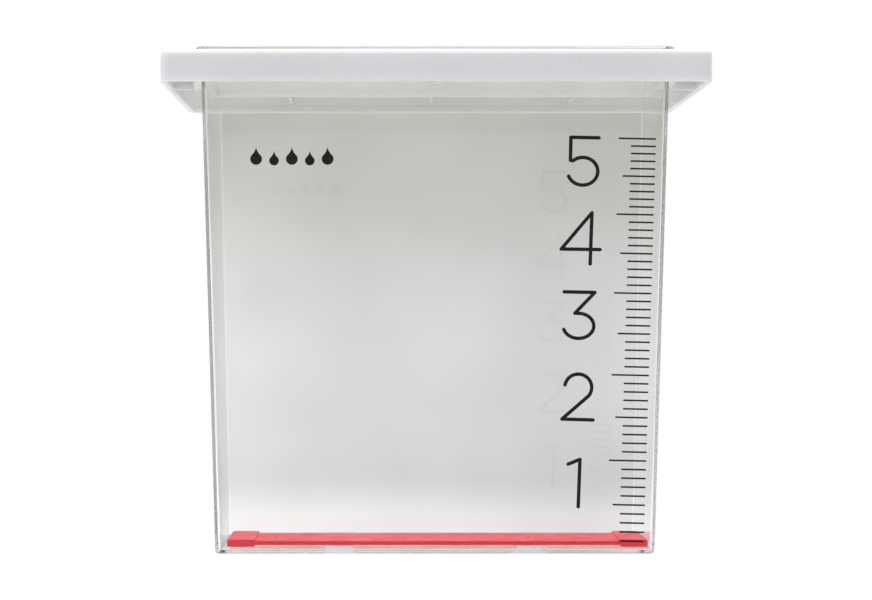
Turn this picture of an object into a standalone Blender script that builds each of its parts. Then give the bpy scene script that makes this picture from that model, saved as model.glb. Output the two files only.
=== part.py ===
"""Manual rain gauge. A clear tapered container hangs by its rim in a white wall bracket,
and a red float inside it rises with the water along the front wall.

Metres, +Z up. The origin is the middle of the bracket's back face, which lies against the
wall, and the front of the gauge faces -Y.
"""

import math

import bmesh
import bpy

# Clearances
SEAT_GAP = 0.0003           # between two pieces that rest on each other
SOCKET_CLEARANCE = 0.00045  # between the container and the bracket's opening, each side

# Container: outer sizes at its foot, walls that lean out by the same draft on every side
CONTAINER_WIDTH = 0.1588
CONTAINER_DEPTH = 0.0437
CONTAINER_HEIGHT = 0.1821
CONTAINER_DRAFT = math.radians(1.5)
CONTAINER_WALL = 0.00145
CONTAINER_FLOOR = 0.0013
CONTAINER_CORNER = 0.0022
FOOT_ROUNDING = 0.0014
FLOOR_ROUNDING = 0.0006
RIM_HEIGHT = 0.0024
RIM_OVERHANG = 0.00155
RIM_ROUNDING = 0.0006
FLOOR_RIDGE_WIDTH = 0.0108
FLOOR_RIDGE_HEIGHT = 0.0011
FLOOR_RIDGE_OFFSET = 0.035
FLOOR_RIDGE_MARGIN = 0.0020
NUB_WIDTH = 0.0042
NUB_HEIGHT = 0.0024
NUB_PROUD = 0.0004
NUB_DROP = 0.0104           # below the bracket's top face

# Bracket: borders around the container's body, seen from above
BRACKET_SIDE_BORDER = 0.0128
BRACKET_FRONT_BORDER = 0.0121
BRACKET_BACK_BORDER = 0.0194
BRACKET_HEIGHT = 0.0114
BRACKET_WALL = 0.0018
BRACKET_TOP = 0.0018
BRACKET_CORNER = 0.0035
BRACKET_EDGE = 0.0020
SOCKET_DEPTH = 0.0076
SOCKET_WALL = 0.0018
SOCKET_EDGE = 0.0004
LIP_HEIGHT = 0.0028
LIP_THICKNESS = 0.0004
RIB_THICKNESS = 0.0014
RIB_SPACING = 0.0555
RIB_DROP = 0.0081           # short ribs: how far they reach below the bracket's top face
SIDE_RIB_SETBACK = 0.0220   # of the full-height ribs, behind the bracket's front face
SIDE_RIB_CLEARANCE = 0.0035  # from the side ribs' ends to the container's body

# Float
FLOAT_END_GAP = 0.00155     # to the side walls at the floor, when it lies in the middle
FLOAT_SHIFT = 0.0010        # how far it lies from the middle, towards +X
FLOAT_FRONT_GAP = 0.0030    # from the front wall's inner face
FLOAT_DEPTH = 0.0226
FLOAT_THICKNESS = 0.0015
FLOAT_CAP_LENGTH = 0.0095
FLOAT_CAP_CORNER = 0.0012
FLOAT_CAP_PROUD = 0.0006
FLOAT_TONGUE_THICKNESS = 0.0006
FLOAT_TONGUE_REACH = 0.0070
FLOAT_EDGE = 0.0003

CORNER_STEPS = 6
ROUNDING_STEPS = 4
LEAST_CORNER = 0.0004       # so that a corner never closes to a point

# Heights and places that follow from the sizes above
LEAN = math.tan(CONTAINER_DRAFT)
BRACKET_TOP_Z = BRACKET_HEIGHT / 2
BRACKET_BOTTOM_Z = -BRACKET_HEIGHT / 2
RIM_BOTTOM_Z = BRACKET_TOP_Z + SEAT_GAP
RIM_TOP_Z = RIM_BOTTOM_Z + RIM_HEIGHT
FOOT_Z = RIM_TOP_Z - CONTAINER_HEIGHT
FLOOR_Z = FOOT_Z + CONTAINER_FLOOR
LEAN_TO_SEAT = LEAN * (BRACKET_TOP_Z - FOOT_Z)
BODY_WIDTH = CONTAINER_WIDTH + 2 * LEAN_TO_SEAT
BODY_DEPTH = CONTAINER_DEPTH + 2 * LEAN_TO_SEAT
BODY_BACK = -BRACKET_BACK_BORDER
BODY_FRONT = BODY_BACK - BODY_DEPTH
CONTAINER_Y = (BODY_FRONT + BODY_BACK) / 2
BRACKET_WIDTH = BODY_WIDTH + 2 * BRACKET_SIDE_BORDER
BRACKET_FRONT = BODY_FRONT - BRACKET_FRONT_BORDER
FLOAT_LENGTH = CONTAINER_WIDTH - 2 * (CONTAINER_WALL + FLOAT_END_GAP)


class Section:
    """A level rectangle with round corners, one ring of a loft."""

    def __init__(self, width, front, back, corner, z):
        self.width = width
        self.front = front
        self.back = back
        self.corner = corner
        self.z = z

    def grown(self, by, z):
        """The same rectangle, larger by this much on every side, at another height."""
        return Section(
            self.width + 2 * by,
            self.front - by,
            self.back + by,
            max(self.corner + by, LEAST_CORNER),
            z,
        )

    def points(self):
        """Its outline, anticlockwise from above, the same number of points for every ring."""
        right = self.width / 2 - self.corner
        front = self.front + self.corner
        back = self.back - self.corner
        centres = ((right, back), (-right, back), (-right, front), (right, front))
        found = []
        for quarter, (x, y) in enumerate(centres):
            for step in range(CORNER_STEPS + 1):
                turn = (quarter + step / CORNER_STEPS) * math.pi / 2
                along = self.corner * math.cos(turn)
                back_along = self.corner * math.sin(turn)
                found.append((x + along, y + back_along, self.z))
        return found


def clear_scene():
    for found in list(bpy.data.objects):
        bpy.data.objects.remove(found, do_unlink=True)


def plastic(name, colour, roughness, transmission=0.0):
    material = bpy.data.materials.new(name)
    material.use_nodes = True
    shader = material.node_tree.nodes["Principled BSDF"]
    shader.inputs["Base Color"].default_value = (*colour, 1.0)
    shader.inputs["Roughness"].default_value = roughness
    shader.inputs["Metallic"].default_value = 0.0
    shader.inputs["Transmission Weight"].default_value = transmission
    return material


def add_object(name, mesh, material=None):
    found = bpy.data.objects.new(name, mesh)
    bpy.context.scene.collection.objects.link(found)
    if material:
        mesh.materials.append(material)
    return found


def add_helper(name, mesh):
    """A solid that is only joined to or cut from another one."""
    helper = add_object(name, mesh)
    helper.hide_render = True
    helper.display_type = "WIRE"
    return helper


def mesh_from(name, shape):
    bmesh.ops.recalc_face_normals(shape, faces=shape.faces)
    mesh = bpy.data.meshes.new(name)
    shape.to_mesh(mesh)
    shape.free()
    return mesh


def combine(target, helper, operation):
    modifier = target.modifiers.new(helper.name, "BOOLEAN")
    modifier.operation = operation
    modifier.object = helper
    modifier.solver = "EXACT"


def bevel(target, width, segments):
    modifier = target.modifiers.new("soft edges", "BEVEL")
    modifier.width = width
    modifier.segments = segments
    modifier.limit_method = "ANGLE"
    modifier.angle_limit = math.radians(40)


def shade(target):
    target.data.shade_smooth()
    target.data.set_sharp_from_angle(angle=math.radians(30))


def bridge(shape, lower, upper):
    count = len(lower)
    for i in range(count):
        j = (i + 1) % count
        shape.faces.new((lower[i], lower[j], upper[j], upper[i]))


def loft(name, sections, ring=False):
    """A solid through the sections: capped at both ends or, as a ring, joined end to end."""
    shape = bmesh.new()
    rings = [[shape.verts.new(point) for point in section.points()] for section in sections]
    for lower, upper in zip(rings, rings[1:]):
        bridge(shape, lower, upper)
    if ring:
        bridge(shape, rings[-1], rings[0])
    else:
        shape.faces.new(reversed(rings[0]))
        shape.faces.new(rings[-1])
    return mesh_from(name, shape)


def add_box(shape, low, high):
    """A box between two corners, added to a shape that may hold others."""
    corners = [
        shape.verts.new((x, y, z))
        for z in (low[2], high[2])
        for x, y in ((low[0], low[1]), (high[0], low[1]), (high[0], high[1]), (low[0], high[1]))
    ]
    shape.faces.new(reversed(corners[:4]))
    shape.faces.new(corners[4:])
    bridge(shape, corners[:4], corners[4:])


def box_mesh(name, *boxes):
    shape = bmesh.new()
    for low, high in boxes:
        add_box(shape, low, high)
    return mesh_from(name, shape)


def body_section(z, inset=0.0):
    """The container's outer outline at a height, moved in by inset on every side."""
    half_width = CONTAINER_WIDTH / 2 + LEAN * (z - FOOT_Z) - inset
    half_depth = CONTAINER_DEPTH / 2 + LEAN * (z - FOOT_Z) - inset
    return Section(
        2 * half_width,
        CONTAINER_Y - half_depth,
        CONTAINER_Y + half_depth,
        max(CONTAINER_CORNER - inset, LEAST_CORNER),
        z,
    )


def quarter_round(radius, start, end):
    """Steps along an arc between two angles in degrees, as (outwards, up) from its centre."""
    for step in range(ROUNDING_STEPS + 1):
        turn = math.radians(start + (end - start) * step / ROUNDING_STEPS)
        yield radius * math.cos(turn), radius * math.sin(turn)


def container_sections():
    """From the middle of the foot, up the outside, over the rim and down to the floor."""
    sections = []
    for along, up in quarter_round(FOOT_ROUNDING, 270, 360):
        z = FOOT_Z + FOOT_ROUNDING + up
        sections.append(body_section(z, FOOT_ROUNDING - along))
    sections.append(body_section(RIM_BOTTOM_Z))
    rim = body_section(RIM_BOTTOM_Z).grown(RIM_OVERHANG, RIM_BOTTOM_Z)
    sections.append(rim)
    for along, up in quarter_round(RIM_ROUNDING, 0, 90):
        z = RIM_TOP_Z - RIM_ROUNDING + up
        sections.append(rim.grown(along - RIM_ROUNDING, z))
    for along, up in quarter_round(RIM_ROUNDING, 90, 180):
        z = RIM_TOP_Z - RIM_ROUNDING + up
        sections.append(body_section(z, CONTAINER_WALL + RIM_ROUNDING + along))
    for along, up in quarter_round(FLOOR_ROUNDING, 0, -90):
        z = FLOOR_Z + FLOOR_ROUNDING + up
        sections.append(body_section(z, CONTAINER_WALL + FLOOR_ROUNDING - along))
    return sections


def make_container():
    material = plastic("clear plastic", (0.90, 0.91, 0.92), 0.08, 0.9)
    container = add_object("container", loft("container", container_sections()), material)

    inside = body_section(FLOOR_Z, CONTAINER_WALL + FLOOR_RIDGE_MARGIN)
    ridges = []
    for side in (-1, 1):
        middle = side * FLOOR_RIDGE_OFFSET
        low = (middle - FLOOR_RIDGE_WIDTH / 2, inside.front, FLOOR_Z - CONTAINER_FLOOR / 2)
        high = (middle + FLOOR_RIDGE_WIDTH / 2, inside.back, FLOOR_Z + FLOOR_RIDGE_HEIGHT)
        ridges.append((low, high))
    combine(container, add_helper("floor_ridges", box_mesh("floor_ridges", *ridges)), "UNION")

    shape = bmesh.new()
    bmesh.ops.create_uvsphere(shape, u_segments=16, v_segments=8, radius=0.5)
    sunk = CONTAINER_WALL / 2
    size = (NUB_WIDTH, NUB_PROUD + sunk, NUB_HEIGHT)
    bmesh.ops.scale(shape, vec=size, verts=shape.verts)
    z = BRACKET_TOP_Z - NUB_DROP
    middle = (0, body_section(z).front + (sunk - NUB_PROUD) / 2, z)
    bmesh.ops.translate(shape, vec=middle, verts=shape.verts)
    combine(container, add_helper("front_nub", mesh_from("front_nub", shape)), "UNION")
    shade(container)
    return container


def bracket_sections():
    """Around the bracket's wall section: up the skirt, over the top, down and back underneath."""
    skirt = Section(BRACKET_WIDTH, BRACKET_FRONT, 0.0, BRACKET_CORNER, BRACKET_BOTTOM_Z)
    opening = Section(BODY_WIDTH, BODY_FRONT, BODY_BACK, CONTAINER_CORNER, BRACKET_TOP_Z)
    opening = opening.grown(SOCKET_CLEARANCE, BRACKET_TOP_Z)
    socket_z = BRACKET_TOP_Z - SOCKET_DEPTH
    ceiling_z = BRACKET_TOP_Z - BRACKET_TOP
    lip_z = BRACKET_BOTTOM_Z + LIP_HEIGHT

    sections = [skirt]
    for along, up in quarter_round(BRACKET_EDGE, 0, 90):
        sections.append(skirt.grown(along - BRACKET_EDGE, BRACKET_TOP_Z - BRACKET_EDGE + up))
    for along, up in quarter_round(SOCKET_EDGE, 90, 180):
        sections.append(opening.grown(SOCKET_EDGE + along, BRACKET_TOP_Z - SOCKET_EDGE + up))
    sections.append(opening.grown(0.0, socket_z))
    sections.append(opening.grown(SOCKET_WALL, socket_z))
    sections.append(opening.grown(SOCKET_WALL, ceiling_z))
    sections.append(skirt.grown(-BRACKET_WALL, ceiling_z))
    sections.append(skirt.grown(-BRACKET_WALL, lip_z))
    sections.append(skirt.grown(-BRACKET_WALL - LIP_THICKNESS, lip_z - LIP_THICKNESS))
    sections.append(skirt.grown(-BRACKET_WALL - LIP_THICKNESS, BRACKET_BOTTOM_Z))
    return sections


def bracket_ribs():
    """Boxes that stiffen the bracket from below, each sunk halfway into what it joins."""
    half_wall = BRACKET_WALL / 2
    socket_grip = SOCKET_CLEARANCE + SOCKET_WALL / 2
    top = BRACKET_TOP_Z - BRACKET_TOP / 2
    short = BRACKET_TOP_Z - RIB_DROP
    ribs = []
    for x in (-RIB_SPACING, 0.0, RIB_SPACING):
        left = x - RIB_THICKNESS / 2
        right = x + RIB_THICKNESS / 2
        ribs.append(((left, BRACKET_FRONT + half_wall, short), (right, BODY_FRONT - socket_grip, top)))
        ribs.append(((left, BODY_BACK + socket_grip, short), (right, -half_wall, top)))
    rib_front = BRACKET_FRONT + SIDE_RIB_SETBACK - RIB_THICKNESS / 2
    for side in (-1, 1):
        ends = sorted(
            (side * (BODY_WIDTH / 2 + SIDE_RIB_CLEARANCE), side * (BRACKET_WIDTH / 2 - half_wall))
        )
        low = (ends[0], rib_front, BRACKET_BOTTOM_Z)
        high = (ends[1], rib_front + RIB_THICKNESS, top)
        ribs.append((low, high))
    return ribs


def make_bracket():
    material = plastic("white plastic", (0.78, 0.78, 0.79), 0.38)
    bracket = add_object("wall_bracket", loft("wall_bracket", bracket_sections(), True), material)
    ribs = add_helper("bracket_ribs", box_mesh("bracket_ribs", *bracket_ribs()))
    combine(bracket, ribs, "UNION")
    shade(bracket)
    return bracket


def cap_mesh(name, front, back, bottom, top):
    """A flat block with round corners and soft edges, its middle at x = 0."""
    plate = Section(FLOAT_CAP_LENGTH, front, back, FLOAT_CAP_CORNER, bottom)
    sections = []
    for along, up in quarter_round(FLOAT_EDGE, 270, 360):
        sections.append(plate.grown(along - FLOAT_EDGE, bottom + FLOAT_EDGE + up))
    for along, up in quarter_round(FLOAT_EDGE, 0, 90):
        sections.append(plate.grown(along - FLOAT_EDGE, top - FLOAT_EDGE + up))
    return loft(name, sections)


def make_float():
    """A flat bar whose ends are thinned to a tongue, with a sleeve cap on each tongue."""
    material = plastic("red plastic", (0.72, 0.03, 0.05), 0.30)
    front = body_section(FLOOR_Z, CONTAINER_WALL + FLOAT_FRONT_GAP).front
    back = front + FLOAT_DEPTH
    bottom = FLOOR_Z + FLOOR_RIDGE_HEIGHT + SEAT_GAP
    top = bottom + FLOAT_THICKNESS
    middle_z = (bottom + top) / 2
    cap_start = FLOAT_LENGTH / 2 - FLOAT_CAP_LENGTH
    tongue_end = cap_start + FLOAT_TONGUE_REACH
    tongue_inset = FLOAT_CAP_PROUD + 2 * SEAT_GAP
    tongue_low = (-tongue_end, front + tongue_inset, middle_z - FLOAT_TONGUE_THICKNESS / 2)
    tongue_high = (tongue_end, back - tongue_inset, middle_z + FLOAT_TONGUE_THICKNESS / 2)

    half_bar = cap_start - SEAT_GAP
    bar_mesh = box_mesh("float_bar", ((-half_bar, front, bottom), (half_bar, back, top)))
    bar = add_object("float_bar", bar_mesh, material)
    bar.location.x = FLOAT_SHIFT
    bevel(bar, FLOAT_EDGE, 2)
    tongues = add_helper("float_tongues", box_mesh("float_tongues", (tongue_low, tongue_high)))
    tongues.location.x = FLOAT_SHIFT
    combine(bar, tongues, "UNION")
    shade(bar)

    pieces = [bar]
    for side, word in ((-1, "left"), (1, "right")):
        name = "float_cap_" + word
        middle_x = side * (cap_start + FLOAT_CAP_LENGTH / 2)
        cap = add_object(
            name,
            cap_mesh(
                name,
                front - FLOAT_CAP_PROUD,
                back + FLOAT_CAP_PROUD,
                bottom - FLOAT_CAP_PROUD,
                top + FLOAT_CAP_PROUD,
            ),
            material,
        )
        cap.location.x = FLOAT_SHIFT + middle_x
        mouth = side * (cap_start - FLOAT_EDGE) - middle_x
        blind = side * (tongue_end + SEAT_GAP) - middle_x
        pocket_low = (min(mouth, blind), tongue_low[1] - SEAT_GAP, tongue_low[2] - SEAT_GAP)
        pocket_high = (max(mouth, blind), tongue_high[1] + SEAT_GAP, tongue_high[2] + SEAT_GAP)
        pocket = add_helper(name + "_pocket", box_mesh(name + "_pocket", (pocket_low, pocket_high)))
        pocket.location.x = cap.location.x
        combine(cap, pocket, "DIFFERENCE")
        shade(cap)
        pieces.append(cap)
    return pieces


def add_joint_empty(name, location, pieces):
    """An empty on a joint's axis, which its moving pieces are parented to."""
    empty = bpy.data.objects.new(name, None)
    empty.location = location
    empty.empty_display_size = 0.01
    bpy.context.scene.collection.objects.link(empty)
    bpy.context.view_layer.update()
    for piece in pieces:
        piece.parent = empty
        piece.matrix_parent_inverse = empty.matrix_world.inverted()
    return empty


def main():
    clear_scene()
    make_bracket()
    container = make_container()
    float_pieces = make_float()
    rise = add_joint_empty("float_rise", (FLOAT_SHIFT, CONTAINER_Y, FLOOR_Z), float_pieces)
    add_joint_empty("container_lift", (0, CONTAINER_Y, FOOT_Z), [container, rise])


main()
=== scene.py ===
import math

import bmesh
import bpy
from mathutils import Matrix, Vector


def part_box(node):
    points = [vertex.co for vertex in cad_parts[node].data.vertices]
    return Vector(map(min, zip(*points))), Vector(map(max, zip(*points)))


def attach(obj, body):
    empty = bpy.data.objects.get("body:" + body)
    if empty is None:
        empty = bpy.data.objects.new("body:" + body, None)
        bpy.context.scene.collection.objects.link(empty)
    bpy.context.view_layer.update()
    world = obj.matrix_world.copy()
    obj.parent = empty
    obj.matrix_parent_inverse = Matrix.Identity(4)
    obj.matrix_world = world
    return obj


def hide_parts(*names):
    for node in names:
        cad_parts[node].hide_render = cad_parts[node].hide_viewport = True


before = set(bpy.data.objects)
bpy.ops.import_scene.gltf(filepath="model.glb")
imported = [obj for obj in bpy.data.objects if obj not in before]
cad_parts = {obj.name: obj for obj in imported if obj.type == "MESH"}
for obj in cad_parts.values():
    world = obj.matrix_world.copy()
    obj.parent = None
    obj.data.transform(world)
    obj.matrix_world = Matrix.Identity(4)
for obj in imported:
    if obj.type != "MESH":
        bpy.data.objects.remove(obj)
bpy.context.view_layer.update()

# All lengths are in metres, in the frame of the CAD: +Z up, -Y towards the reader.
MM = 0.001
INCH = 0.0254

# The container's walls, as the CAD has them
WALL_LEAN = math.tan(math.radians(1.5))
WALL_THICKNESS = 1.45 * MM
FLOOR_THICKNESS = 1.30 * MM
RIM_HEIGHT = 2.40 * MM
RIM_OVERHANG = 1.55 * MM

# Printed scale
INCHES_ON_SCALE = 5
MARKS_PER_INCH = 10
INCH_MARK_LENGTH = 13.5 * MM
HALF_MARK_LENGTH = 11.7 * MM
SMALL_MARK_LENGTH = 9.0 * MM
MARK_WIDTH = 0.60 * MM
MARK_MARGIN = 4.3 * MM          # from the marks' right ends to the container's right edge
DIGIT_STROKE = 1.28 * MM
PRINT_TURN = math.radians(-1.2)  # the print stands square to the leaning right edge
INK_THICKNESS = 0.04 * MM
INK_GAP = 0.01 * MM
ARC_STEP = math.radians(9)
HALVINGS = 40                   # when the height of an amount of rain is searched for

# Float sleeves
SLEEVE_CORNER = 1.0 * MM        # rounding of the upright edges
SLEEVE_CORNER_STEPS = 6
SLEEVE_EDGE = 0.45 * MM         # rounding of the level edges
SLEEVE_EDGE_STEPS = 4
SLEEVE_REACH = 0.6 * MM         # over the gap between sleeve and bar

# Row of raindrops at the upper left. Every second drop is smaller.
DROPS = 5
DROP_SPACING = 6.4 * MM
DROP_HEIGHT = 6.4 * MM
DROP_FROM_LEFT = 19.0 * MM
DROP_FROM_TOP = 39.0 * MM
SMALL_DROP = 0.82               # a small drop's height, as a share of a large one's
SMALL_DROP_DOWN = 0.8 * MM      # how much lower its middle is
DROP_BELLY = 0.33               # the round part's radius, as a share of the drop's height
DROP_FLANK = 0.06               # how far the flanks curve in, as a share of the drop's height
DROP_SHOULDER = 28              # degrees above level where the round part ends

# Shading of the CAD nodes and the sleeves
WELD_DISTANCE = 0.002 * MM
SMOOTH_ANGLE = math.radians(32)
SLEEVE_SMOOTH_ANGLE = math.radians(40)

# Stage and lamps. Watts and metres.
FLOOR_SIZE = 2.2
FLOOR_DROP = 0.60               # from the container's foot down to the floor
LAMPS_AIM = (0.0, -0.05, 0.0)

# Camera: level, square to the bracket's front
LENS = 63.95                    # in millimetres, like the sensor
SENSOR_WIDTH = 36.0
SHIFT = (0.0562, 0.0241)
CAMERA_X = -0.0173
CAMERA_IN_FRONT = 0.5412        # of the bracket's front face
CAMERA_BELOW = 0.0840           # the bracket's lower edge

# Light is reflected many times inside the clear walls before it leaves them.
REFLECTIONS = 16
REFRACTIONS = 24
BOUNCES = 32


# ---------------------------------------------------------------- places from the frame


container_low, container_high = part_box("container")
bracket_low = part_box("wall_bracket")[0]
FOOT_Z = container_low.z
RIM_TOP_Z = container_high.z
RIM_BOTTOM_Z = RIM_TOP_Z - RIM_HEIGHT
FLOOR_Z = FOOT_Z + FLOOR_THICKNESS


def right_edge(z):
    """The container's outer right edge at a height."""
    return container_high.x - RIM_OVERHANG - WALL_LEAN * (RIM_BOTTOM_Z - z)


def front_face(z):
    """The container's outer front face at a height."""
    return container_low.y + RIM_OVERHANG + WALL_LEAN * (RIM_BOTTOM_Z - z)


# ---------------------------------------------------------------- meshes


def add_piece(name, mesh, material, body):
    piece = bpy.data.objects.new(name, mesh)
    bpy.context.scene.collection.objects.link(piece)
    mesh.materials.append(material)
    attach(piece, body)
    return piece


def arc(centre, radii, start, end):
    """Points along an ellipse's arc between two angles in degrees, anticlockwise if end > start."""
    start, end = math.radians(start), math.radians(end)
    steps = max(2, round(abs(end - start) / ARC_STEP))
    angles = [start + (end - start) * step / steps for step in range(steps + 1)]
    return [
        Vector((centre[0] + radii[0] * math.cos(a), centre[1] + radii[1] * math.sin(a)))
        for a in angles
    ]


def fan(centre, from_direction, to_direction, radius):
    """Points clockwise round a centre from one direction to another."""
    start = math.atan2(from_direction.y, from_direction.x)
    turn = (start - math.atan2(to_direction.y, to_direction.x)) % (2 * math.pi)
    steps = max(1, round(turn / ARC_STEP / 2))
    angles = [start - turn * step / steps for step in range(steps + 1)]
    return [centre + radius * Vector((math.cos(a), math.sin(a))) for a in angles]


def pen_side(points, radius):
    """The left side of a pen's line along the points, between its first and its last normal.

    It is round outside a bend and mitred inside it.
    """
    side = []
    headings = [(b - a).normalized() for a, b in zip(points, points[1:])]
    normals = [Vector((-h.y, h.x)) for h in headings]
    for point, before, after in zip(points[1:-1], normals, normals[1:]):
        bend = before.x * after.y - before.y * after.x
        if bend < 0:
            side += fan(point, before, after, radius)
        else:
            side.append(point + radius * (before + after) / (1 + before.dot(after)))
    return normals[0], side, normals[-1]


def pen_outline(points, width):
    """The outline of a pen's line with round ends, clockwise."""
    radius = width / 2
    first_out, left, last_out = pen_side(points, radius)
    first_back, right, last_back = pen_side(points[::-1], radius)
    far_end = fan(points[-1], last_out, first_back, radius)
    near_end = fan(points[0], last_back, first_out, radius)
    return left + far_end + right + near_end


def on_wall(point):
    """A point of the front wall from (to the right, up, out of the wall), where up is a height."""
    x, z, out = point
    return Vector((x, front_face(z) - out / math.cos(math.atan(WALL_LEAN)), z))


def ink_mesh(name, outlines):
    """Flat raised prints with these outlines, which are (x, z) points clockwise from the front."""
    shape = bmesh.new()
    for outline in outlines:
        back = [shape.verts.new(on_wall((p.x, p.y, INK_GAP))) for p in outline]
        front = [shape.verts.new(on_wall((p.x, p.y, INK_GAP + INK_THICKNESS))) for p in outline]
        shape.faces.new(front)
        shape.faces.new(back[::-1])
        for i, j in zip(range(len(back)), [*range(1, len(back)), 0]):
            shape.faces.new((front[j], front[i], back[i], back[j]))
    bmesh.ops.recalc_face_normals(shape, faces=shape.faces)
    bmesh.ops.triangulate(shape, faces=[face for face in shape.faces if len(face.verts) > 4])
    mesh = bpy.data.meshes.new(name)
    shape.to_mesh(mesh)
    shape.free()
    return mesh


def sleeve_mesh(name, low, high):
    """A flat block with soft edges, for an end of the float."""
    shape = bmesh.new()
    bmesh.ops.create_cube(shape, size=1.0)
    bmesh.ops.scale(shape, vec=high - low, verts=shape.verts)
    bmesh.ops.translate(shape, vec=(low + high) / 2, verts=shape.verts)
    half_height = (high.z - low.z) / 2
    upright = [
        edge
        for edge in shape.edges
        if abs(edge.verts[0].co.z - edge.verts[1].co.z) > half_height
    ]
    bmesh.ops.bevel(
        shape,
        geom=upright,
        offset=SLEEVE_CORNER,
        segments=SLEEVE_CORNER_STEPS,
        profile=0.5,
        affect="EDGES",
    )
    # What still turns by a right angle is the outline of the top and of the bottom.
    level = [edge for edge in shape.edges if edge.calc_face_angle(0.0) > math.radians(60)]
    bmesh.ops.bevel(
        shape,
        geom=level,
        offset=SLEEVE_EDGE,
        segments=SLEEVE_EDGE_STEPS,
        profile=0.5,
        affect="EDGES",
    )
    mesh = bpy.data.meshes.new(name)
    shape.to_mesh(mesh)
    shape.free()
    mesh.shade_smooth()
    mesh.set_sharp_from_angle(angle=SLEEVE_SMOOTH_ANGLE)
    return mesh


def unite(piece, mesh):
    """Joins another closed mesh to the piece's own, as one solid."""
    helper = bpy.data.objects.new("helper", mesh)
    bpy.context.scene.collection.objects.link(helper)
    modifier = piece.modifiers.new("join", "BOOLEAN")
    modifier.operation = "UNION"
    modifier.solver = "EXACT"
    modifier.object = helper
    bpy.context.view_layer.update()
    evaluated = piece.evaluated_get(bpy.context.evaluated_depsgraph_get())
    joined = bpy.data.meshes.new_from_object(evaluated)
    piece.modifiers.remove(modifier)
    piece.data = joined
    bpy.data.objects.remove(helper)


# ---------------------------------------------------------------- printed scale


def rain_height(inches):
    """How high above the floor this much rain stands, in a box whose walls all lean out."""
    width = 2 * (right_edge(FLOOR_Z) - WALL_THICKNESS)
    depth = 2 * ((container_high.y + container_low.y) / 2 - front_face(FLOOR_Z) - WALL_THICKNESS)
    top = RIM_TOP_Z - FLOOR_Z
    mouth = (width + 2 * WALL_LEAN * top) * (depth + 2 * WALL_LEAN * top)
    wanted = inches * INCH * mouth

    def volume(height):
        upright_part = width * depth * height
        wedges = WALL_LEAN * (width + depth) * height**2
        corners = 4 / 3 * WALL_LEAN**2 * height**3
        return upright_part + wedges + corners

    low, high = 0.0, top
    for _ in range(HALVINGS):
        middle = (low + high) / 2
        if volume(middle) < wanted:
            low = middle
        else:
            high = middle
    return high


def mark_end(inches):
    """The right end of a mark, as (x, z)."""
    z = FLOOR_Z + rain_height(inches)
    return Vector((right_edge(z) - MARK_MARGIN, z))


def printed(anchor, points):
    """Points in millimetres from an anchor, turned with the print."""
    turn = Matrix.Rotation(PRINT_TURN, 2)
    return [anchor + turn @ (Vector(point) * MM) for point in points]


def scale_marks():
    """The outlines of all marks. The first stands a tenth of an inch up, for none is at zero."""
    outlines = []
    for count in range(1, INCHES_ON_SCALE * MARKS_PER_INCH + 1):
        length = SMALL_MARK_LENGTH
        if count % MARKS_PER_INCH == 0:
            length = INCH_MARK_LENGTH
        elif count % (MARKS_PER_INCH // 2) == 0:
            length = HALF_MARK_LENGTH
        right = -MARK_WIDTH / 2
        left = MARK_WIDTH / 2 - length
        ends = printed(mark_end(count / MARKS_PER_INCH), [(right / MM, 0), (left / MM, 0)])
        outlines.append(pen_outline(ends, MARK_WIDTH))
    return outlines


# Pen lines of the digits, in millimetres from the right end of the digit's own mark
DIGITS = {
    1: [[(-28.1, -1.7), (-23.9, 0.1), (-24.1, -17.0)]],
    2: [[*arc((-25.3, -4.8), (4.85, 4.8), 170, -38), (-30.9, -16.3), (-19.7, -16.4)]],
    3: [[(-31.3, 0.0), (-20.3, 0.0), (-27.3, -7.6), *arc((-25.9, -12.1), (5.5, 4.5), 84, -162)]],
    4: [
        [(-32.9, -12.9), (-22.2, 0.3), (-22.4, -18.0)],
        [(-32.9, -12.9), (-19.0, -12.8)],
    ],
    5: [[(-20.5, 0.0), (-30.5, 0.0), (-30.5, -8.2), *arc((-26.0, -12.05), (5.4, 4.95), 132, -158)]],
}


def raindrop(middle, size):
    """A drop's outline: a round belly with a curved point above it, clockwise."""
    radius = DROP_BELLY * size
    belly = middle + Vector((0.0, radius - size / 2))
    tip = middle + Vector((0.0, size / 2))
    round_part = arc(belly, (radius, radius), DROP_SHOULDER, -180 - DROP_SHOULDER)

    def flank(start, end, inwards):
        return [
            start.lerp(end, share)
            + Vector((inwards * DROP_FLANK * size * math.sin(math.pi * share), 0.0))
            for share in (0.25, 0.5, 0.75)
        ]

    return [*round_part, *flank(round_part[-1], tip, 1), tip, *flank(tip, round_part[0], -1)]


def raindrops():
    """The outlines of a row of drops, large and small in turn."""
    outlines = []
    for count in range(DROPS):
        small = count % 2 == 1
        z = RIM_TOP_Z - DROP_FROM_TOP - (SMALL_DROP_DOWN if small else 0.0)
        x = -right_edge(z) + DROP_FROM_LEFT + count * DROP_SPACING
        size = DROP_HEIGHT * (SMALL_DROP if small else 1.0)
        outlines.append(raindrop(Vector((x, z)), size))
    return outlines


# ---------------------------------------------------------------- materials


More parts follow.
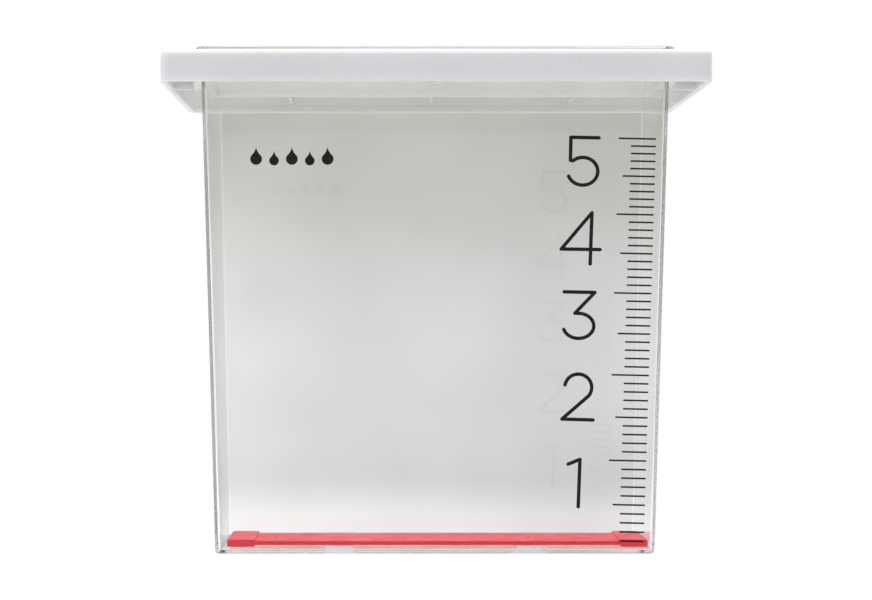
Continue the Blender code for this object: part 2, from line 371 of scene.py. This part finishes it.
class Look:
    """A material and short ways to add nodes to it."""

    def __init__(self, name):
        self.material = bpy.data.materials.new(name)
        self.material.use_nodes = True
        self.tree = self.material.node_tree
        self.shader = self.tree.nodes["Principled BSDF"]
        self.output = self.tree.nodes["Material Output"]
        self.place = self.add("ShaderNodeTexCoord").outputs["Object"]

    def add(self, kind, **settings):
        node = self.tree.nodes.new(kind)
        for name, value in settings.items():
            setattr(node, name, value)
        return node

    def join(self, source, target):
        self.tree.links.new(source, target)

    def noise(self, size, detail=2.0, stretch=(1.0, 1.0, 1.0)):
        """Noise from 0 to 1 whose features are about this many metres across."""
        mapping = self.add("ShaderNodeMapping")
        mapping.inputs["Scale"].default_value = stretch
        self.join(self.place, mapping.inputs["Vector"])
        node = self.add("ShaderNodeTexNoise")
        node.inputs["Scale"].default_value = 1.0 / size
        node.inputs["Detail"].default_value = detail
        self.join(mapping.outputs["Vector"], node.inputs["Vector"])
        return node.outputs["Fac"]

    def ranged(self, source, low, high, start=0.3, end=0.7):
        """The source taken from start..end to low..high."""
        node = self.add("ShaderNodeMapRange", interpolation_type="SMOOTHSTEP")
        for name, value in (
            ("From Min", start), ("From Max", end), ("To Min", low), ("To Max", high)
        ):
            node.inputs[name].default_value = value
        self.join(source, node.inputs["Value"])
        return node.outputs["Result"]

    def mixed(self, share, first, second):
        """Two colours mixed, each a socket or an (r, g, b)."""
        node = self.add("ShaderNodeMix", data_type="RGBA")
        self.join(share, node.inputs["Factor"])
        for socket, colour in ((node.inputs[6], first), (node.inputs[7], second)):
            if isinstance(colour, tuple):
                socket.default_value = (*colour, 1.0)
            else:
                self.join(colour, socket)
        return node.outputs[2]

    def bump(self, height, depth, under=None):
        """Raises the surface by up to depth metres along the height, on top of another bump."""
        node = self.add("ShaderNodeBump")
        node.inputs["Strength"].default_value = 1.0
        node.inputs["Distance"].default_value = depth
        self.join(height, node.inputs["Height"])
        if under:
            self.join(under, node.inputs["Normal"])
        return node.outputs["Normal"]


def white_plastic():
    """Satin and translucent, with faint clouds and specks. Its hollows have painted light: they are
    coloured paler and warmer, a painted glow for light shining through the thin walls.
    """
    look = Look("white_plastic")
    clouds = look.ranged(look.noise(0.060, 3.0), 0.0, 1.0)
    specks = look.ranged(look.noise(0.0016, 1.0), 0.0, 0.22, 0.62, 0.80)
    colour = look.mixed(clouds, (0.80, 0.795, 0.82), (0.765, 0.765, 0.785))
    colour = look.mixed(specks, colour, (0.60, 0.60, 0.60))
    # Painted light: where ambient occlusion finds a hollow, the colour turns paler and warmer,
    # standing in for the glow of light through the translucent plastic.
    hollow = look.add("ShaderNodeAmbientOcclusion", samples=6)
    hollow.inputs["Distance"].default_value = 5 * MM
    painted_glow_in_hollows = look.ranged(hollow.outputs["AO"], 0.95, 0.0, 0.15, 0.80)
    colour = look.mixed(painted_glow_in_hollows, colour, (0.93, 0.93, 0.87))
    look.join(colour, look.shader.inputs["Base Color"])
    look.join(look.ranged(look.noise(0.012, 3.0), 0.36, 0.50), look.shader.inputs["Roughness"])
    rounded = look.add("ShaderNodeBevel", samples=4)
    rounded.inputs["Radius"].default_value = 0.25 * MM
    waves = look.bump(look.noise(0.030, 1.0), 0.05 * MM, rounded.outputs["Normal"])
    grain = look.bump(look.noise(0.0005, 2.0), 0.012 * MM, waves)
    look.join(grain, look.shader.inputs["Normal"])
    look.shader.inputs["IOR"].default_value = 1.5
    look.shader.inputs["Subsurface Weight"].default_value = 1.0
    look.shader.inputs["Subsurface Radius"].default_value = (1.0, 0.97, 0.75)
    look.shader.inputs["Subsurface Scale"].default_value = 5.0 * MM
    return look.material


def clear_plastic():
    """Clear with a faint tint and haze. It lets part of every lamp's light straight through."""
    look = Look("clear_plastic")
    clouds = look.ranged(look.noise(0.070, 2.0), 0.0, 1.0)
    colour = look.mixed(clouds, (0.97, 0.97, 0.965), (0.935, 0.94, 0.93))
    look.join(colour, look.shader.inputs["Base Color"])
    haze = look.ranged(look.noise(0.025, 4.0), 0.02, 0.07)
    look.join(haze, look.shader.inputs["Roughness"])
    look.shader.inputs["IOR"].default_value = 1.49
    look.shader.inputs["Transmission Weight"].default_value = 1.0
    flow = look.bump(look.noise(0.040, 1.0, (1.0, 1.0, 0.4)), 0.005 * MM)
    look.join(flow, look.shader.inputs["Normal"])

    see_through = look.add("ShaderNodeBsdfTransparent")
    see_through.inputs["Color"].default_value = (0.90, 0.90, 0.90, 1.0)
    either = look.add("ShaderNodeMixShader")
    look.join(look.add("ShaderNodeLightPath").outputs["Is Shadow Ray"], either.inputs["Fac"])
    look.join(look.shader.outputs["BSDF"], either.inputs[1])
    look.join(see_through.outputs["BSDF"], either.inputs[2])
    look.join(either.outputs["Shader"], look.output.inputs["Surface"])
    return look.material


def red_plastic():
    """Semi-gloss, with clouds drawn out along the float."""
    look = Look("red_plastic")
    clouds = look.ranged(look.noise(0.020, 3.0, (0.4, 1.0, 1.0)), 0.0, 1.0)
    colour = look.mixed(clouds, (0.97, 0.022, 0.045), (0.92, 0.015, 0.034))
    look.join(colour, look.shader.inputs["Base Color"])
    look.join(look.ranged(look.noise(0.008, 3.0), 0.26, 0.40), look.shader.inputs["Roughness"])
    waves = look.bump(look.noise(0.012, 1.0, (0.3, 1.0, 1.0)), 0.015 * MM)
    grain = look.bump(look.noise(0.0004, 2.0), 0.004 * MM, waves)
    look.join(grain, look.shader.inputs["Normal"])
    look.shader.inputs["Specular IOR Level"].default_value = 0.25
    return look.material


def black_ink():
    """Nearly matt, a little uneven in cover."""
    look = Look("black_ink")
    patches = look.ranged(look.noise(0.0012, 3.0), 0.0, 1.0)
    colour = look.mixed(patches, (0.010, 0.012, 0.013), (0.022, 0.024, 0.026))
    look.join(colour, look.shader.inputs["Base Color"])
    look.join(look.ranged(look.noise(0.0020, 2.0), 0.45, 0.65), look.shader.inputs["Roughness"])
    grain = look.bump(look.noise(0.0002, 2.0), 0.004 * MM)
    look.join(grain, look.shader.inputs["Normal"])
    look.shader.inputs["Specular IOR Level"].default_value = 0.2
    return look.material


def pale_floor():
    look = Look("pale_floor")
    patches = look.ranged(look.noise(0.30, 3.0), 0.0, 1.0)
    colour = look.mixed(patches, (0.80, 0.80, 0.80), (0.77, 0.77, 0.77))
    look.join(colour, look.shader.inputs["Base Color"])
    look.shader.inputs["Roughness"].default_value = 0.9
    return look.material


# ---------------------------------------------------------------- CAD nodes


def smooth_group():
    """Geometry nodes that shade the CAD's facets as the round surfaces they stand for."""
    tree = bpy.data.node_groups.new("smooth_shading", "GeometryNodeTree")
    tree.interface.new_socket("Geometry", in_out="INPUT", socket_type="NodeSocketGeometry")
    tree.interface.new_socket("Geometry", in_out="OUTPUT", socket_type="NodeSocketGeometry")
    start = tree.nodes.new("NodeGroupInput")
    weld = tree.nodes.new("GeometryNodeMergeByDistance")
    weld.inputs["Distance"].default_value = WELD_DISTANCE
    angle = tree.nodes.new("GeometryNodeInputMeshEdgeAngle")
    sharp = tree.nodes.new("FunctionNodeCompare")
    sharp.operation = "GREATER_THAN"
    sharp.inputs["B"].default_value = SMOOTH_ANGLE
    normals = tree.nodes.new("GeometryNodeSetMeshNormal")
    normals.inputs["Remove Custom"].default_value = True
    end = tree.nodes.new("NodeGroupOutput")
    tree.links.new(start.outputs["Geometry"], weld.inputs["Geometry"])
    tree.links.new(weld.outputs["Geometry"], normals.inputs["Mesh"])
    tree.links.new(angle.outputs["Unsigned Angle"], sharp.inputs["A"])
    tree.links.new(sharp.outputs["Result"], normals.inputs["Edge Sharpness"])
    tree.links.new(normals.outputs["Mesh"], end.inputs["Geometry"])
    return tree


def keep_flat(piece):
    """Large flat faces keep one direction of shading right up to their rounded edges."""
    flat = piece.modifiers.new("flat faces stay flat", "WEIGHTED_NORMAL")
    flat.mode = "FACE_AREA"
    flat.weight = 100
    flat.keep_sharp = True


def finish_node(name, material, group):
    """Gives a carried-over CAD node its material and its smooth shading."""
    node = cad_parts[name]
    for slot in node.material_slots:
        slot.material = material
    modifier = node.modifiers.new("smooth shading", "NODES")
    modifier.node_group = group
    keep_flat(node)


# ---------------------------------------------------------------- stage, light and camera


def make_floor():
    shape = bmesh.new()
    bmesh.ops.create_grid(shape, x_segments=1, y_segments=1, size=FLOOR_SIZE / 2)
    mesh = bpy.data.meshes.new("floor")
    shape.to_mesh(mesh)
    shape.free()
    floor = bpy.data.objects.new("floor", mesh)
    floor.location = (0.0, 0.0, FOOT_Z - FLOOR_DROP)
    mesh.materials.append(pale_floor())
    bpy.context.scene.collection.objects.link(floor)


def ramp(tree, source, stops):
    """A colour ramp over a source from -1 to 1. A stop has a place and an (r, g, b) or a grey."""
    to_share = tree.nodes.new("ShaderNodeMapRange")
    to_share.inputs["From Min"].default_value = -1.0
    tree.links.new(source, to_share.inputs["Value"])
    node = tree.nodes.new("ShaderNodeValToRGB")
    elements = node.color_ramp.elements
    while len(elements) > 1:
        elements.remove(elements[-1])
    for count, (place, colour) in enumerate(stops):
        share = (place + 1) / 2
        element = elements[0] if count == 0 else elements.new(share)
        element.position = share
        element.color = (*colour, 1.0) if isinstance(colour, tuple) else (colour, colour, colour, 1.0)
    tree.links.new(to_share.outputs["Result"], node.inputs["Fac"])
    return node.outputs["Color"]


def times(tree, *colours):
    """The product of two or more colour sockets."""
    product = colours[0]
    for colour in colours[1:]:
        node = tree.nodes.new("ShaderNodeMix")
        node.data_type = "RGBA"
        node.blend_type = "MULTIPLY"
        node.inputs["Factor"].default_value = 1.0
        tree.links.new(product, node.inputs[6])
        tree.links.new(colour, node.inputs[7])
        product = node.outputs[2]
    return product


def choose(tree, share, first, second):
    """The first colour where the share is 0 and the second where it is 1 or more."""
    node = tree.nodes.new("ShaderNodeMix")
    node.data_type = "RGBA"
    tree.links.new(share, node.inputs["Factor"])
    tree.links.new(first, node.inputs[6])
    tree.links.new(second, node.inputs[7])
    return node.outputs[2]


def make_world():
    """White where the camera sees it, a softer studio for light, reflections and clear plastic."""
    world = bpy.data.worlds.new("studio")
    world.use_nodes = True
    tree = world.node_tree
    tree.nodes.clear()
    direction = tree.nodes.new("ShaderNodeTexCoord").outputs["Generated"]
    split = tree.nodes.new("ShaderNodeSeparateXYZ")
    tree.links.new(direction, split.inputs["Vector"])
    across, along, up = split.outputs

    # What lights matt surfaces: soft from all round, and twice as bright from behind
    light = times(
        tree,
        ramp(tree, up, [
            (-1.0, 0.55),
            (-0.2, (0.50, 0.50, 0.51)),
            (0.1, (0.37, 0.37, 0.385)),
            (1.0, 0.70),
        ]),
        ramp(tree, along, [(-0.2, 1.0), (0.5, 2.2)]),
    )

    # What glossy surfaces reflect: dim towards the reader, bright above and behind
    gloss = times(
        tree,
        ramp(tree, up, [
            (-1.0, 0.60),
            (-0.2, (0.78, 0.78, 0.82)),
            (0.2, (0.78, 0.78, 0.82)),
            (1.0, 1.00),
        ]),
        ramp(tree, along, [(-0.6, 0.30), (0.6, 1.0)]),
    )

    # What is seen through clear plastic: a wall that fades from white at the bottom to a warm
    # grey under the bracket, with white above it and one dark strip higher up
    backdrop = ramp(tree, up, [
        (-0.140, 1.00),
        (-0.125, 0.96),
        (-0.103, (0.735, 0.725, 0.74)),
        (-0.064, (0.79, 0.78, 0.79)),
        (-0.020, 0.815),
        (0.033, (0.745, 0.745, 0.74)),
        (0.072, (0.635, 0.635, 0.61)),
        (0.135, (0.590, 0.590, 0.54)),
        (0.165, 0.95),
        (0.220, (0.95, 0.95, 0.96)),
        (0.320, (0.25, 0.25, 0.27)),
        (0.500, (0.85, 0.84, 0.89)),
        (1.000, (0.90, 0.89, 0.94)),
    ])

    def sideways(left, right):
        """Bright far out on both sides, and as given just left and right of the middle."""
        return ramp(tree, across, [
            (-0.60, (1.30, 1.30, 1.33)),
            (-0.12, left),
            (0.0, 1.0),
            (0.12, right),
            (0.60, (1.20, 1.20, 1.23)),
        ])

    high_up = ramp(tree, up, [(0.075, 0.0), (0.125, 1.0)])
    clouds = tree.nodes.new("ShaderNodeTexNoise")
    clouds.inputs["Scale"].default_value = 14.0
    clouds.inputs["Detail"].default_value = 1.0
    tree.links.new(direction, clouds.inputs["Vector"])
    behind = times(
        tree,
        backdrop,
        choose(tree, high_up, sideways(1.13, 0.95), sideways(0.93, 0.91)),
        ramp(tree, along, [(-0.6, (0.88, 0.87, 0.92)), (0.0, 1.0)]),
        ramp(tree, clouds.outputs["Fac"], [(0.35, 0.96), (0.65, 1.03)]),
    )

    white = tree.nodes.new("ShaderNodeRGB").outputs["Color"]
    white.default_value = (1.0, 1.0, 1.0, 1.0)
    path = tree.nodes.new("ShaderNodeLightPath").outputs
    colour = choose(tree, path["Is Glossy Ray"], light, gloss)
    colour = choose(tree, path["Is Transmission Ray"], colour, behind)
    colour = choose(tree, path["Diffuse Depth"], colour, light)
    colour = choose(tree, path["Is Camera Ray"], colour, white)
    background = tree.nodes.new("ShaderNodeBackground")
    tree.links.new(colour, background.inputs["Color"])
    output = tree.nodes.new("ShaderNodeOutputWorld")
    tree.links.new(background.outputs["Background"], output.inputs["Surface"])
    bpy.context.scene.world = world


def area_light(name, place, size, power):
    data = bpy.data.lights.new(name, "AREA")
    data.shape = "RECTANGLE"
    data.size, data.size_y = size
    data.energy = power
    lamp = bpy.data.objects.new(name, data)
    lamp.location = place
    lamp.rotation_euler = (Vector(LAMPS_AIM) - Vector(place)).to_track_quat("-Z", "Y").to_euler()
    bpy.context.scene.collection.objects.link(lamp)
    return lamp


def make_camera():
    """Straight on from the front, a little left of the middle, half way down the container."""
    data = bpy.data.cameras.new("camera")
    data.lens = LENS
    data.sensor_width = SENSOR_WIDTH
    data.shift_x, data.shift_y = SHIFT
    data.clip_start = 0.01
    camera = bpy.data.objects.new("camera", data)
    camera.location = (
        CAMERA_X,
        bracket_low.y - CAMERA_IN_FRONT,
        bracket_low.z - CAMERA_BELOW,
    )
    camera.rotation_euler = (math.radians(90), 0.0, 0.0)
    bpy.context.scene.collection.objects.link(camera)
    bpy.context.scene.camera = camera


# ---------------------------------------------------------------- build


def add_sleeves(material):
    """The float's ends, in place of the CAD's caps and drawn out over the gap to the bar."""
    for side in ("left", "right"):
        low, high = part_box("float_cap_" + side)
        if side == "left":
            high.x += SLEEVE_REACH
        else:
            low.x -= SLEEVE_REACH
        name = "float_sleeve_" + side
        sleeve = add_piece(name, sleeve_mesh(name, low, high), material, "float")
        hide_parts("float_cap_" + side)
        keep_flat(sleeve)


def add_print(name, outlines, material):
    return add_piece(name, ink_mesh(name, outlines), material, "container")


def add_prints(material):
    """The marks, the digits and the raindrops on the container's front."""
    add_print("scale_marks", scale_marks(), material)
    for digit, lines in DIGITS.items():
        anchor = mark_end(digit)
        outlines = [pen_outline(printed(anchor, line), DIGIT_STROKE) for line in lines]
        piece = add_print(f"scale_digit_{digit}", outlines[:1], material)
        for outline in outlines[1:]:
            unite(piece, ink_mesh("helper", [outline]))
    add_print("raindrops", raindrops(), material)


def main():
    group = smooth_group()
    red = red_plastic()
    finish_node("wall_bracket", white_plastic(), group)
    finish_node("container", clear_plastic(), group)
    finish_node("float_bar", red, group)
    add_sleeves(red)
    add_prints(black_ink())

    make_world()
    make_floor()
    area_light("top_light", (0.0, -0.35, 0.75), (1.2, 0.9), 6.0)
    area_light("left_light", (-0.90, -0.35, 0.10), (0.6, 0.8), 1.2)
    low_light = area_light("low_light", (0.0, 0.0, -0.70), (0.7, 0.7), 1.3)
    low_light.visible_glossy = False
    low_light.visible_transmission = False
    make_camera()
    scene = bpy.context.scene
    scene.view_settings.view_transform = "Standard"
    scene.cycles.glossy_bounces = REFLECTIONS
    scene.cycles.transmission_bounces = REFRACTIONS
    scene.cycles.max_bounces = BOUNCES


main()
